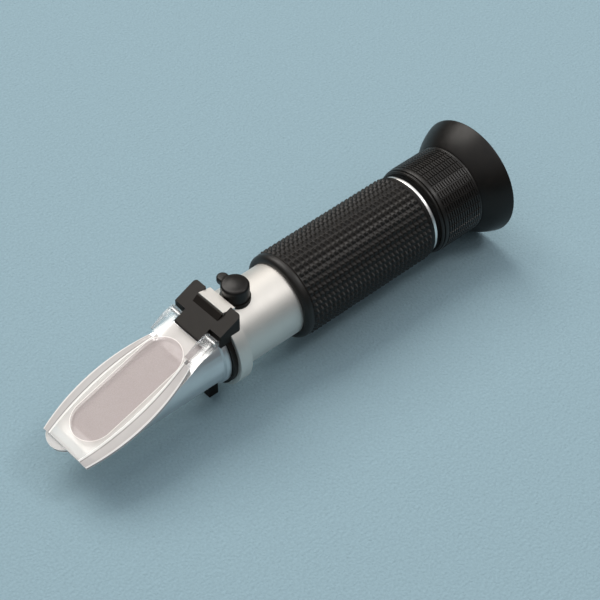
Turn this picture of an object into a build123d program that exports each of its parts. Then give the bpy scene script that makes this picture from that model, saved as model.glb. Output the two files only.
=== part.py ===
from build123d import *
from math import cos, radians, sin, sqrt
import os

# A hand-held prism refractometer, lying on the rim of its eyecup and the lug of its clamp.
# All pieces are first drawn in the optical frame: X is the optical axis, the rim of the
# eyecup lies at X = 0, the prism points to -X and Z is up. The finished pieces are then
# moved so that the origin is the middle of the footprint. All sizes are in millimetres.

# Clearances: between fixed pieces, between turning pieces, and round loose ones
fixed_fit = 0.03
running_fit = 0.05
loose_fit = 0.15

# Lengths along the optical axis, from the eyecup's rim to the tip
flare_length = 9.3
sleeve_length = 17.3
focus_gap = 1.45
end_ring_length = 1.2
grip_length = 54.0
bare_tube_length = 22.25
flange_length = 4.4
clamp_gap = 0.1
clamp_width = 3.4
nose_setback = 3.9
spigot_length = 5.9

# Radii about the optical axis
rim_radius = 20.0
sleeve_radius = 15.0
grip_radius = 14.6
end_ring_radius = 13.72
tube_radius = 12.0
tube_wall = 1.6
ring_seat_depth = 0.4
flange_radius = 14.65
housing_radius = 11.5
clamp_radius = 13.2

# Softened edges of the metal pieces
flange_edge = 0.4
end_ring_edge = 0.3
nose_round = 2.2

# The grip's lengthwise ridges, between its rounded front lip and its back shoulder
grip_ridges = 40
grip_ridge_height = 0.75
grip_lip = 4.6
grip_lip_round = 1.8
grip_shoulder = 3.1
grip_shoulder_step = 0.3

# The hinge: its pin, the sloping block and the clamp's lug
face_angle = 17.3
pin_ahead = 5.8
pin_height = 10.5
pin_radius = 0.55
pin_length = 19.4
block_angle = 24.0
block_cover = 1.37
block_rear = 9.8
block_width = 20.6
block_corner = 1.2
bridge_lead = 1.5
bridge_top = 15.6
tongue_width = 11.1
tongue_nose = 2.52
wing_setback = 1.7
band_width = 1.5
neck_rim_radius = 12.3
neck_rim_slope = 0.5
lug_width = 6.2
lug_slit = 1.0
clamp_screw_radius = 1.0
clamp_head_radius = 1.9
clamp_head_height = 1.2
clamp_nut_radius = 1.9
clamp_nut_height = 1.4
clamp_nut_cover = 0.6
clamp_slot_width = 0.5
clamp_slot_depth = 0.5

# The bright clip over the back of the block
clip_angle = 11.2
clip_length = 4.6
clip_width = 11.2
clip_sheet = 0.5
clip_drop = 2.1
clip_ahead = 1.05
clip_lift = 0.85

# The clear daylight plate, measured along the slope from the hinge pin
plate_length = 51.3
plate_rise = 0.15
plate_wall = 1.4
plate_edge = 0.9
plate_bevel = 1.0
plate_front_half = 10.1
plate_middle_half = 13.2
plate_waist_half = 9.3
plate_waist = 10.0
panel_front_half = 6.85
panel_middle_half = 9.0
panel_waist_half = 7.0
lip_width = 1.0
pad_start = 6.4
pad_end = 46.8
pad_width = 14.6
pad_depth = 1.0
film_gap = 0.05
ear_radius = 1.5
ear_width = 4.3
ear_length = 8.5
ear_flat = 3.4
tab_reach = 2.3
tab_half_width = 4.9
tab_shift = 3.8
tab_thickness = 1.2

# The prism, the cement round it and the channel behind it
prism_start = 10.7
prism_length = 33.0
prism_width = 12.8
prism_depth = 7.0
seal_width = 0.7
seal_depth = 1.0
channel_radius = 5.4
channel_drop = 2.0
baffle_setback = 2.0
baffle_radius = 8.5
baffle_hole = 4.0
baffle_thickness = 1.0

# The zero screw, its seat and its rubber cap
screw_behind_flange = 6.0
screw_radius = 2.0
screw_point = 0.8
screw_point_length = 1.2
screw_slot_width = 0.8
screw_slot_depth = 1.0
screw_sink = 0.4
seat_radius = 4.7
seat_height = 0.7
seat_wall = 0.5
seat_plug_length = 2.1
seat_neck_radius = 3.3
seat_neck_height = 3.3
cap_wall = 1.05
cap_roof = 1.5
cap_headroom = 0.2
cap_round = 0.9
cap_dome = 0.6
cap_tab_reach = 2.4
cap_tab_width = 3.8
cap_tab_thickness = 2.4
cap_tab_round = 0.7
cap_tab_drop = 0.2
cap_tab_shift = 0.6

# The objective, which the zero screw shifts up and down
objective_radius = 8.2
objective_length = 6.0
objective_boss = 12.0
objective_boss_length = 2.4
objective_lens_radius = 5.2
objective_lens_length = 3.6
objective_lens_front = 0.9
objective_lens_back = 0.3
objective_lens_setback = 0.9
objective_lip = 0.8
objective_travel = 0.25
guide_gap = 0.1
guide_thickness = 1.9
strip_flat = 0.4
strip_width = 5.0
strip_thickness = 0.6
strip_length = 17.0
strip_setback = 0.4
strip_screw_radius = 1.2
strip_screw_height = 0.6
strip_screw_spacing = 2.8
strip_slot = 0.4

# The reticle and its carrier
reticle_station = 50.0
reticle_thickness = 1.5
reticle_radius = 9.3
reticle_lip = 1.0
carrier_front = 1.5
carrier_back = 4.5

# The eyepiece: barrel, lens cell, lenses, sleeve and eyecup
barrel_length = 36.0
barrel_lip_length = 1.5
sleeve_wall = 1.6
sleeve_round = 0.5
rib_rows = 14
rib_pitch = 1.0
rib_depth = 0.35
rib_margin = 1.2
cell_gap = 1.15
cell_wall = 0.7
cell_length = 30.0
cell_lip = 1.0
field_lens_length = 4.0
field_lens_front = 0.4
field_lens_back = 1.3
eye_lens_length = 5.0
eye_lens_front = 1.5
eye_lens_back = 0.8
spacer_wall = 1.0
lens_ring_length = 2.0
lens_ring_width = 1.9
retainer_length = 1.3
retainer_width = 1.5
plug_length = 2.2
plug_step = 1.4
plug_wall = 1.6
cup_floor = 0.9
rim_wall = 0.9
rim_edge = 0.3
flare_drop = 1.75
bowl_drop = 4.3

# Stations along the axis that follow from the lengths
x_sleeve_back = -flare_length
x_sleeve_front = x_sleeve_back - sleeve_length
x_ring_back = x_sleeve_front - focus_gap
x_grip_back = x_ring_back - end_ring_length
x_grip_front = x_grip_back - grip_length
x_flange_back = x_grip_front - bare_tube_length
x_flange_front = x_flange_back - flange_length
x_clamp_back = x_flange_front - clamp_gap
x_clamp_front = x_clamp_back - clamp_width
x_band_front = x_clamp_back - band_width
x_rim_back = x_band_front - clamp_gap
x_lug = (x_clamp_front + x_clamp_back) / 2
x_pin = x_flange_front - pin_ahead
x_baffle = x_flange_front - baffle_setback
x_spigot = x_flange_front + spigot_length
x_screw = x_flange_back + screw_behind_flange
x_cell_back = x_screw + objective_length / 2
x_cell_front = x_screw - objective_length / 2
x_clip = x_flange_back - clip_ahead
x_reticle = -reticle_station - reticle_thickness
x_barrel_front = x_sleeve_back - barrel_length
x_lens_cell = x_barrel_front + barrel_lip_length
x_lens_cell_back = x_lens_cell + cell_length
x_field_lens = x_lens_cell + cell_lip + fixed_fit
x_eye_lens = x_lens_cell_back - eye_lens_length - 2 * lens_ring_length
x_plug = x_sleeve_back - plug_length

# Radii and heights that follow from the sizes above
tube_bore = tube_radius - tube_wall
ring_seat = tube_radius - ring_seat_depth
bore_fit = tube_bore - fixed_fit
seat_top = tube_radius + seat_height
seat_plug = screw_radius + seat_wall
neck_top = seat_top + seat_neck_height
z_lug = -(clamp_radius + rim_radius) / 2
z_clip = flange_radius + clip_lift
z_cell_top = objective_radius + running_fit
z_strip = strip_flat - objective_radius
z_strip_bottom = z_strip - strip_thickness
collar_radius = sleeve_radius - sleeve_wall
plug_radius = collar_radius - plug_step
cup_bore = plug_radius - plug_wall
cell_radius = tube_bore - running_fit - cell_gap
lens_radius = cell_radius - cell_wall - fixed_fit

# The cover frame: its origin is the middle of the hinge pin, its X runs forward down the
# slope, its Z stands square to the prism's face and its Y points to the near side
slope = radians(face_angle)
cover_frame = Plane(origin=(x_pin, 0, pin_height), x_dir=(-cos(slope), 0, -sin(slope)),
                    z_dir=(-sin(slope), 0, cos(slope)))
plate_under = plate_rise - plate_wall
prism_face = plate_under - pad_depth
edge_bottom = plate_rise - plate_bevel - plate_edge
tab_top = edge_bottom + tab_thickness
x_nose = x_pin - plate_length * cos(slope) - plate_rise * sin(slope) + nose_setback
x_tip = x_pin - (plate_length + tab_reach) * cos(slope) - tab_top * sin(slope)
overall_length = -x_tip

# How far cutting shapes run past what they cut
past = 1.0
reach = 3 * overall_length


def turned(*corners):
    """A solid turned about the optical axis from (station, radius) corners."""
    return revolve(make_face(Polyline(*corners, close=True)), axis=Axis.X)


def ring(start, end, outer, inner=0.0):
    """A plain ring about the optical axis, or a disc where it has no hole."""
    return turned((start, inner), (end, inner), (end, outer), (start, outer))


def post(x, bottom, top, radius):
    """An upright round post on the middle plane."""
    return Pos(x, 0, (bottom + top) / 2) * Cylinder(radius, top - bottom)


def crosswise(x, z, radius, length):
    """A round bar that lies across the instrument."""
    return Pos(x, 0, z) * Rot(90, 0, 0) * Cylinder(radius, length)


def block(x_range, y_range, z_range):
    """A box between two stations, two sides and two heights."""
    low, high = zip(x_range, y_range, z_range)
    middle = [(a + b) / 2 for a, b in zip(low, high)]
    size = [b - a for a, b in zip(low, high)]
    return Pos(*middle) * Box(*size)


def side_plate(outline, width):
    """A plate of the given width across the instrument, from (x, z) corners."""
    face = make_face(Polyline(*[(x, 0, z) for x, z in outline], close=True))
    return extrude(face, width / 2, dir=(0, 1, 0), both=True)


def half_way_sag(radius, depth):
    """How far a spherical cap of this rim radius and depth has fallen half way out."""
    sphere = (radius**2 + depth**2) / (2 * depth)
    return sphere - sqrt(sphere**2 - radius**2 / 4)


def corner_arc(start, corner, end):
    """An arc that rounds off a corner, between two points on its sides."""
    share = 1 - sqrt(0.5)
    middle = [c + share * (a + b - 2 * c) for a, b, c in zip(start, end, corner)]
    return ThreePointArc(start, tuple(middle), end)


def above_face(height):
    """Everything that lies higher than a plane parallel to the prism's face."""
    return cover_frame * Pos(0, 0, height + reach / 2) * Box(reach, reach, reach)


def cover_outline(front, middle, waist, start, shrink=0.0):
    """The plate's plan: straight ends and one bowed arc along each side."""
    end = plate_length - shrink
    half_way = (start + end) / 2
    left = ThreePointArc((start, waist - shrink), (half_way, middle - shrink),
                         (end, front - shrink))
    right = ThreePointArc((end, shrink - front), (half_way, shrink - middle),
                          (start, shrink - waist))
    return make_face(left + Line(left @ 1, right @ 0) + right + Line(right @ 1, left @ 0))


# The tube, its flange and what is fixed to it


def make_body_tube():
    """Tube with the flange at its front and a hole for the zero screw's seat."""
    shoulder = flange_radius - flange_edge
    shell = turned((x_flange_front, tube_bore), (x_flange_front, shoulder),
                   (x_flange_front + flange_edge, flange_radius),
                   (x_flange_back - flange_edge, flange_radius), (x_flange_back, shoulder),
                   (x_flange_back, tube_radius), (x_grip_back, tube_radius),
                   (x_grip_back, ring_seat), (x_ring_back, ring_seat), (x_ring_back, tube_bore))
    return shell - post(x_screw, 0, reach, seat_plug + fixed_fit)


def make_end_ring():
    """Bright ring that closes the back of the tube behind the grip."""
    inner = ring_seat + fixed_fit
    shoulder = end_ring_radius - end_ring_edge
    return turned((x_grip_back, inner), (x_grip_back, shoulder),
                  (x_grip_back + end_ring_edge, end_ring_radius),
                  (x_ring_back - end_ring_edge, end_ring_radius),
                  (x_ring_back, shoulder), (x_ring_back, inner))


def ridged_bar(start, end, outer, inner, ridges):
    """A bar along the axis whose section is a star of shallow ridges."""
    half_turn = radians(180 / ridges)
    corners = []
    for step in range(2 * ridges):
        radius = inner if step % 2 else outer
        corners.append((radius * cos(step * half_turn), radius * sin(step * half_turn)))
    section = Plane(origin=(start, 0, 0), x_dir=(0, 1, 0), z_dir=(1, 0, 0))
    return extrude(section * make_face(Polyline(*corners, close=True)), end - start)


def make_grip_sleeve():
    """Rubber grip: lengthwise ridges between a rounded front lip and a back shoulder."""
    step = grip_radius - grip_shoulder_step
    valley = grip_radius - grip_ridge_height
    x_ridge_front = x_grip_front + grip_lip
    x_ridge_back = x_grip_back - grip_shoulder
    lip_foot = (x_grip_front, step - grip_lip_round)
    lip_crest = (x_grip_front + grip_lip_round, step)
    lip = corner_arc(lip_foot, (x_grip_front, step), lip_crest)
    rest = Polyline(lip_crest, (x_ridge_front, step), (x_ridge_front, tube_radius),
                    (x_ridge_back, tube_radius), (x_ridge_back, step), (x_grip_back, step),
                    (x_grip_back, 0), (x_grip_front, 0), lip_foot)
    grip = revolve(make_face(lip + rest), axis=Axis.X)
    grip += ridged_bar(x_ridge_front, x_ridge_back, grip_radius, valley, grip_ridges)
    return grip - ring(x_grip_front, x_grip_back, tube_radius + fixed_fit)


def make_screw_seat():
    """Saddle on the tube with a neck that the zero screw runs through."""
    saddle = post(x_screw, tube_bore, seat_top, seat_radius)
    saddle -= ring(x_flange_back, x_grip_front, tube_radius + fixed_fit)
    plug = post(x_screw, tube_radius - seat_plug_length, seat_top, seat_plug)
    neck = post(x_screw, seat_top, neck_top, seat_neck_radius)
    return saddle + plug + neck - post(x_screw, 0, reach, screw_radius + running_fit)


# The prism housing at the front


def prism_outline(spare):
    """Side view of the wedge-shaped prism, grown by a clearance on each side."""
    ends = (prism_start - spare, prism_start + prism_length + spare)
    back, front = [(cover_frame * Pos(u, 0, prism_face)).position for u in ends]
    bottom = -prism_depth - spare
    return [(back.X, back.Z), (front.X, front.Z), (front.X, bottom), (back.X, bottom)]


def prism_pocket():
    """The room that the prism takes in what holds it."""
    return side_plate(prism_outline(fixed_fit), prism_width + 2 * fixed_fit)


def seal_frame(spare, depth):
    """A flat block sunk into the prism's face, wider than the prism by the spare."""
    size = (prism_length + 2 * spare, prism_width + 2 * spare, depth)
    middle = Pos(prism_start + prism_length / 2, 0, prism_face - depth / 2)
    return cover_frame * middle * Box(*size)


def make_main_prism():
    """Glass wedge: its sloping top is the face that takes the sample."""
    return side_plate(prism_outline(0), prism_width)


def make_prism_seal():
    """Thin frame of cement between the prism and the window's edge."""
    return seal_frame(seal_width, seal_depth) - prism_pocket()


def make_prism_housing():
    """Cast nose with a rim on its neck, cut on the slope, and the prism's pocket."""
    round_start = (x_nose + nose_round, housing_radius)
    round_end = (x_nose, housing_radius - nose_round)
    back = Polyline((x_nose, 0), (x_spigot, 0), (x_spigot, bore_fit), (x_flange_front, bore_fit),
                    (x_flange_front, housing_radius), (x_rim_back, housing_radius),
                    (x_rim_back, neck_rim_radius), (x_clamp_front, neck_rim_radius),
                    (x_clamp_front - neck_rim_slope, housing_radius), round_start)
    nose = corner_arc(round_start, (x_nose, housing_radius), round_end)
    housing = revolve(make_face(back + nose + Line(round_end, (x_nose, 0))), axis=Axis.X)
    housing -= above_face(prism_face)
    housing -= prism_pocket()
    housing -= seal_frame(seal_width + fixed_fit, seal_depth + fixed_fit)
    x_prism_back = prism_outline(0)[0][0]
    channel = ring(x_prism_back - past, x_spigot, channel_radius)
    housing -= Pos(0, 0, -channel_drop) * channel
    return housing - ring(x_baffle, x_spigot, baffle_radius)


def make_light_baffle():
    """Blackened disc with a hole that keeps stray light out of the tube."""
    return ring(x_baffle, x_baffle + baffle_thickness, baffle_radius - fixed_fit, baffle_hole)


# The hinge mount: a clamp ring with the hinge block on top and a split lug below


def housing_keepout(spare):
    """The housing's neck with a clearance, for what clamps round it."""
    neck = ring(x_nose, x_flange_front + past, housing_radius + spare)
    neck += ring(x_clamp_front - neck_rim_slope, x_rim_back + spare, neck_rim_radius + spare)
    return neck - above_face(prism_face + spare)


def flange_keepout():
    """The flange and the tube behind it with a loose clearance."""
    return ring(x_clamp_back, x_grip_front, flange_radius + loose_fit)


def above_block():
    """Everything higher than the sloping top of the hinge block."""
    frame = Pos(x_pin, 0, pin_height) * Rot(0, -block_angle, 0)
    return frame * Pos(0, 0, block_cover + reach / 2) * Box(reach, reach, reach)


def make_hinge_mount():
    """Moulded ring, T-shaped hinge block and split lug in one piece."""
    half = block_width / 2
    side_bottom = sqrt(clamp_radius**2 - half**2)
    body = block((x_pin, x_pin + block_rear), (-half, half), (side_bottom, 2 * clamp_radius))
    body = fillet(body.edges().filter_by(Axis.Z).group_by(Axis.X)[-1], block_corner)
    body += crosswise(x_pin, pin_height, tongue_nose, tongue_width)
    for side in (-1, 1):
        notch = sorted((side * tongue_width / 2, side * block_width))
        body -= block((x_pin - 2 * tongue_nose, x_pin + wing_setback), notch, (0, reach))
    body -= above_block()
    body += clip_bridge()
    body -= clip_recess()
    body -= flange_keepout()
    body += ring(x_band_front, x_clamp_back, clamp_radius)
    body += block((x_clamp_front, x_clamp_back), (-lug_width / 2, lug_width / 2),
                  (-rim_radius, -housing_radius))
    body -= housing_keepout(fixed_fit)
    body -= block((x_clamp_front - past, x_clamp_back + past), (-lug_slit / 2, lug_slit / 2),
                  (-rim_radius - past, 0))
    body -= clamp_hole(clamp_screw_radius + fixed_fit)
    body -= nut_blank(clamp_nut_radius + fixed_fit, fixed_fit)
    return body - crosswise(x_pin, pin_height, pin_radius + fixed_fit, reach)


def make_hinge_pin():
    """Steel pin through the block's tongue and both ears of the plate."""
    return crosswise(x_pin, pin_height, pin_radius, pin_length)


def clamp_hole(radius):
    """A round bar from the far side of the lug into the captive nut."""
    length = lug_width - clamp_nut_cover
    return Pos(0, clamp_nut_cover / 2, 0) * crosswise(x_lug, z_lug, radius, length)


def nut_blank(radius, spare):
    """The captive nut's hexagon without its hole, longer by a clearance at each end."""
    start = clamp_nut_cover - lug_width / 2 - spare
    plan = RegularPolygon(radius, 6)
    return Pos(x_lug, start, z_lug) * Rot(-90, 0, 0) * extrude(plan, clamp_nut_height + 2 * spare)


def make_clamp_screw():
    """Cheese-head screw on the far side that draws the split lug together."""
    side = Pos(x_lug, lug_width / 2, z_lug) * Rot(-90, 0, 0)
    head = side * Pos(0, 0, clamp_head_height / 2) * Cylinder(clamp_head_radius, clamp_head_height)
    slot = Box(clamp_slot_width, 4 * clamp_head_radius, 2 * clamp_slot_depth)
    return head + clamp_hole(clamp_screw_radius) - side * Pos(0, 0, clamp_head_height) * slot


def make_clamp_nut():
    """Hexagon nut held inside the near half of the lug."""
    return nut_blank(clamp_nut_radius, 0) - clamp_hole(clamp_screw_radius + fixed_fit)


def clip_part(y, width, lift, depth, spare):
    """A slab in the clip's tilted frame that hangs down from the given lift."""
    tilt = Pos(x_clip, 0, z_clip) * Rot(0, clip_angle, 0)
    size = (clip_length + 2 * spare, width + 2 * spare, depth)
    return tilt * Pos(0, y, lift - depth / 2) * Box(*size)


def clip_leg_sides():
    """The sides of the middle plane where the clip's two ends hang."""
    side = (clip_width - clip_sheet) / 2
    return (-side, side)


def clip_recess():
    """Room between the wings for the clip and its ends."""
    recess = clip_part(0, clip_width, clip_width, clip_width + clip_sheet + fixed_fit, fixed_fit)
    for y in clip_leg_sides():
        recess += clip_part(y, clip_sheet, 0, clip_drop + fixed_fit, fixed_fit)
    return recess


def clip_bridge():
    """Low ridge across the block that the clip lies against."""
    x_front = x_clamp_back - bridge_lead
    x_crest = x_clip - clip_length / 2
    outline = [(x_front, clamp_radius), (x_clip, clamp_radius), (x_clip, bridge_top),
               (x_crest - clip_sheet, bridge_top), (x_front, clamp_radius + clip_sheet)]
    return side_plate(outline, clip_width)


def make_spring_clip():
    """Bright sheet strip bent down at both ends over the back of the block."""
    clip = clip_part(0, clip_width, 0, clip_sheet, 0)
    for y in clip_leg_sides():
        clip += clip_part(y, clip_sheet, 0, clip_drop, 0)
    return clip - flange_keepout()


# The daylight plate


def make_daylight_plate():
    """Clear bevelled cover with two hinge ears, a contact pad below and a finger tab."""
    outer = cover_outline(plate_front_half, plate_middle_half, plate_waist_half, plate_waist)
    panel = cover_outline(panel_front_half, panel_middle_half, panel_waist_half, plate_waist)
    plate = loft([Pos(0, 0, edge_bottom + plate_edge) * outer, Pos(0, 0, plate_rise) * panel],
                 ruled=True)
    plate += extrude(Pos(0, 0, edge_bottom) * outer, plate_edge)
    neck_length = plate_waist - tongue_nose
    neck = Pos(plate_waist - neck_length / 2, 0, (plate_rise + edge_bottom) / 2)
    plate += neck * Box(neck_length, 2 * panel_waist_half, plate_rise - edge_bottom)
    inside = cover_outline(plate_front_half, plate_middle_half, plate_waist_half,
                           plate_waist, lip_width)
    plate -= extrude(Pos(0, 0, edge_bottom) * inside, plate_under - edge_bottom)
    pad = SlotOverall(pad_end - pad_start, pad_width)
    pad_bottom = prism_face + film_gap
    pad_place = Pos((pad_start + pad_end) / 2, 0, pad_bottom)
    plate += pad_place * extrude(pad, plate_under - pad_bottom)
    for side in (-1, 1):
        plate += hinge_ear(side)
    plate += finger_tab()
    plate -= Rot(90, 0, 0) * Cylinder(tongue_nose + loose_fit, tongue_width + 2 * loose_fit)
    plate -= Rot(90, 0, 0) * Cylinder(pin_radius + running_fit, reach)
    return cover_frame * plate


def hinge_ear(side):
    """One ear: an eye round the pin that runs out into the side of the plate."""
    middle = side * (tongue_width / 2 + loose_fit + ear_width / 2)
    profile = make_face(Polyline((0, 0, -ear_radius), (0, 0, ear_radius), (ear_flat, 0, ear_radius),
                                 (ear_length, 0, plate_rise), (ear_length, 0, edge_bottom),
                                 close=True))
    ear = extrude(profile, ear_width / 2, dir=(0, 1, 0), both=True)
    ear += Rot(90, 0, 0) * Cylinder(ear_radius, ear_width)
    return Pos(0, middle, 0) * ear


def finger_tab():
    """Rounded lip in front of the plate, off to one side and level with its lower edge."""
    radius = (tab_half_width**2 + tab_reach**2) / (2 * tab_reach)
    disc = Pos(plate_length + tab_reach - radius, 0, 0) * Circle(radius)
    keep = Pos(plate_length + tab_reach / 2 - plate_edge / 2, 0)
    lip = disc & (keep * Rectangle(tab_reach + plate_edge, 2 * radius))
    return Pos(0, -tab_shift, edge_bottom) * extrude(lip, tab_thickness)


# The zero adjustment under the rubber cap


def make_calibration_screw():
    """Slotted grub screw whose tip presses the objective's cell down."""
    point_top = z_cell_top + screw_point_length
    top = neck_top - screw_sink
    shank = post(x_screw, point_top, top, screw_radius)
    point = Cone(screw_point, screw_radius, screw_point_length)
    slot = Pos(x_screw, 0, top) * Box(screw_slot_width, 4 * screw_radius, 2 * screw_slot_depth)
    return shank + Pos(x_screw, 0, z_cell_top + screw_point_length / 2) * point - slot


def make_screw_cap():
    """Rubber cap over the seat's neck, domed on top, with a pull tab on the far side."""
    inner = seat_neck_radius + fixed_fit
    outer = inner + cap_wall
    bottom = seat_top + running_fit
    inside_top = neck_top + cap_headroom
    top = inside_top + cap_roof
    flat = outer - cap_round
    side = Polyline((0, top + cap_dome), (0, inside_top), (inner, inside_top), (inner, bottom),
                    (outer, bottom), (outer, top - cap_round))
    crown = corner_arc((outer, top - cap_round), (outer, top), (flat, top))
    dome_half = top + cap_dome - half_way_sag(flat, cap_dome)
    dome = ThreePointArc((flat, top), (flat / 2, dome_half), (0, top + cap_dome))
    cap = revolve(make_face(side + crown + dome), axis=Axis.Y)
    cap = Pos(x_screw, 0, 0) * Rot(90, 0, 0) * cap
    tab = extrude(SlotOverall(outer + cap_tab_reach, cap_tab_width, rotation=90), cap_tab_thickness)
    tab = fillet(tab.edges().filter_by(Plane.XY), cap_tab_round)
    tab_bottom = top - cap_tab_thickness - cap_tab_drop
    tab = Pos(x_screw - cap_tab_shift, (outer + cap_tab_reach) / 2, tab_bottom) * tab
    return cap + (tab - post(x_screw, bottom - past, inside_top, inner))


def make_objective_mount():
    """Ring fixed in the tube with a window that guides the objective's cell."""
    start = x_cell_back + guide_gap
    span = (x_cell_back, start + guide_thickness + past)
    half = objective_boss / 2 + running_fit
    rise = objective_boss / 2 + objective_travel + loose_fit
    slot = strip_width / 2 + loose_fit
    mount = ring(start, start + guide_thickness, bore_fit)
    mount -= block(span, (-half, half), (-rise, rise))
    return mount - block(span, (-slot, slot), (z_strip_bottom - objective_travel - loose_fit, 0))


def make_objective_cell():
    """Cell of the objective: a disc with a flat below and a guide boss behind."""
    half = objective_boss / 2
    x_boss_back = x_cell_back + objective_boss_length
    cell = ring(x_cell_front, x_cell_back, objective_radius)
    cell += block((x_cell_back, x_boss_back), (-half, half), (-half, half))
    cell -= block((x_cell_front, x_boss_back), (-tube_bore, tube_bore), (-tube_bore, z_strip))
    cell -= ring(x_cell_front, x_boss_back, objective_lens_radius - objective_lip)
    lens_seat = x_cell_front + objective_lens_setback + objective_lens_length
    return cell - ring(x_cell_front, lens_seat + fixed_fit, objective_lens_radius + fixed_fit)


def lens(x_front, length, radius, bulge_front, bulge_back):
    """A lens with two spherical faces and a straight rim."""
    x_back = x_front + length
    rim_front = x_front + bulge_front
    rim_back = x_back - bulge_back
    front_half = (x_front + half_way_sag(radius, bulge_front), radius / 2)
    back_half = (x_back - half_way_sag(radius, bulge_back), radius / 2)
    front = ThreePointArc((x_front, 0), front_half, (rim_front, radius))
    back = ThreePointArc((rim_back, radius), back_half, (x_back, 0))
    outline = front + Line(front @ 1, back @ 0) + back + Line(back @ 1, front @ 0)
    return revolve(make_face(outline), axis=Axis.X)


def make_objective_lens():
    """Cemented objective, fuller in front than behind."""
    return lens(x_cell_front + objective_lens_setback, objective_lens_length,
                objective_lens_radius, objective_lens_front, objective_lens_back)


def make_temperature_strip():
    """Two-metal strip under the cell that shifts it as the instrument warms."""
    x_start = x_cell_front + strip_setback
    return block((x_start, x_start + strip_length), (-strip_width / 2, strip_width / 2),
                 (z_strip_bottom, z_strip))


def make_strip_screws():
    """Two small screws that hold the strip to the cell."""
    screws = []
    for step in (-strip_screw_spacing / 2, strip_screw_spacing / 2):
        centre = Pos(x_screw + step, 0, z_strip_bottom - strip_screw_height / 2)
        head = centre * Cylinder(strip_screw_radius, strip_screw_height)
        slot = Box(strip_slot, 4 * strip_screw_radius, strip_screw_height)
        screws.append(head - Pos(0, 0, -strip_screw_height / 2) * centre * slot)
    return Compound(screws)


# The reticle, in its carrier in the middle of the tube


def make_reticle_carrier():
    """Ring pressed into the tube with a recess for the scale glass."""
    lip = reticle_radius - reticle_lip
    recess = reticle_radius + fixed_fit
    return turned((x_reticle - carrier_front, lip), (x_reticle - carrier_front, bore_fit),
                  (x_reticle + carrier_back, bore_fit), (x_reticle + carrier_back, recess),
                  (x_reticle, recess), (x_reticle, lip))


def make_reticle():
    """Scale glass at the focus of the eyepiece."""
    start = x_reticle + fixed_fit
    return ring(start, start + reticle_thickness, reticle_radius)


def make_reticle_ring():
    """Threaded ring that holds the scale glass."""
    start = x_reticle + reticle_thickness + 2 * fixed_fit
    return ring(start, start + lens_ring_length, reticle_radius, reticle_radius - lens_ring_width)


# The eyepiece: a barrel that turns and slides, and a lens cell that only slides


def make_focus_barrel():
    """Barrel with a shank in the tube and a collar that carries the rubber sleeve."""
    shank = tube_bore - running_fit
    lip = cell_radius - cell_wall
    bore = cell_radius + running_fit
    recess = plug_radius + fixed_fit
    return turned((x_barrel_front, lip), (x_barrel_front, shank), (x_sleeve_front, shank),
                  (x_sleeve_front, collar_radius), (x_sleeve_back, collar_radius),
                  (x_sleeve_back, recess), (x_plug, recess), (x_plug, bore),
                  (x_lens_cell - running_fit, bore), (x_lens_cell - running_fit, lip))


def make_focus_sleeve():
    """Ribbed rubber sleeve: sharp ridges round it, plain ends and a softened front edge."""
    inner = collar_radius + fixed_fit
    corners = [(x_sleeve_back, inner), (x_sleeve_back, sleeve_radius)]
    x = x_sleeve_back - rib_margin
    for _ in range(rib_rows):
        corners.append((x, sleeve_radius))
        corners.append((x - rib_pitch / 2, sleeve_radius - rib_depth))
        x -= rib_pitch
    corners.append((x, sleeve_radius))
    corners += [(x_sleeve_front + sleeve_round, sleeve_radius),
                (x_sleeve_front, sleeve_radius - sleeve_round), (x_sleeve_front, inner)]
    return turned(*corners)


def make_eyecup():
    """Thin rubber cup that flares from the sleeve to its rim, with a plug below."""
    rim_front = (-rim_edge, rim_radius)
    rim_inside = (0, rim_radius - rim_wall)
    bowl_floor = (x_sleeve_back + cup_floor, cup_bore)
    flare = ThreePointArc((x_sleeve_back, sleeve_radius),
                          (x_sleeve_back / 2, rim_radius - flare_drop), rim_front)
    bowl = ThreePointArc(rim_inside, (x_sleeve_back / 2, rim_radius - bowl_drop), bowl_floor)
    rim = Polyline(rim_front, (0, rim_radius - rim_edge), rim_inside)
    plug = Polyline(bowl_floor, (x_plug + fixed_fit, cup_bore), (x_plug + fixed_fit, plug_radius),
                    (x_sleeve_back, plug_radius), (x_sleeve_back, sleeve_radius))
    return revolve(make_face(flare + rim + bowl + plug), axis=Axis.X)


def make_cell_retainer():
    """Ring that keeps the lens cell in the barrel."""
    start = x_lens_cell_back + running_fit
    outer = cell_radius + running_fit - fixed_fit
    return ring(start, start + retainer_length, outer, outer - retainer_width)


def make_eyepiece_cell():
    """Lens cell with a lip at its front that the lenses stack against."""
    bore = cell_radius - cell_wall
    x_lip = x_lens_cell + cell_lip
    return turned((x_lens_cell, bore - cell_lip), (x_lens_cell, cell_radius),
                  (x_lens_cell_back, cell_radius), (x_lens_cell_back, bore),
                  (x_lip, bore), (x_lip, bore - cell_lip))


def make_field_lens():
    """Front lens of the eyepiece."""
    return lens(x_field_lens, field_lens_length, lens_radius, field_lens_front, field_lens_back)


def make_lens_spacer():
    """Tube between the two lenses."""
    start = x_field_lens + field_lens_length + fixed_fit
    return ring(start, x_eye_lens - fixed_fit, lens_radius, lens_radius - spacer_wall)


def make_eye_lens():
    """Rear lens of the eyepiece, next to the eye."""
    return lens(x_eye_lens, eye_lens_length, lens_radius, eye_lens_front, eye_lens_back)


def make_lens_retainer():
    """Threaded ring behind the eye lens."""
    start = x_eye_lens + eye_lens_length + fixed_fit
    return ring(start, start + lens_ring_length, lens_radius, lens_radius - lens_ring_width)


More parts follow.
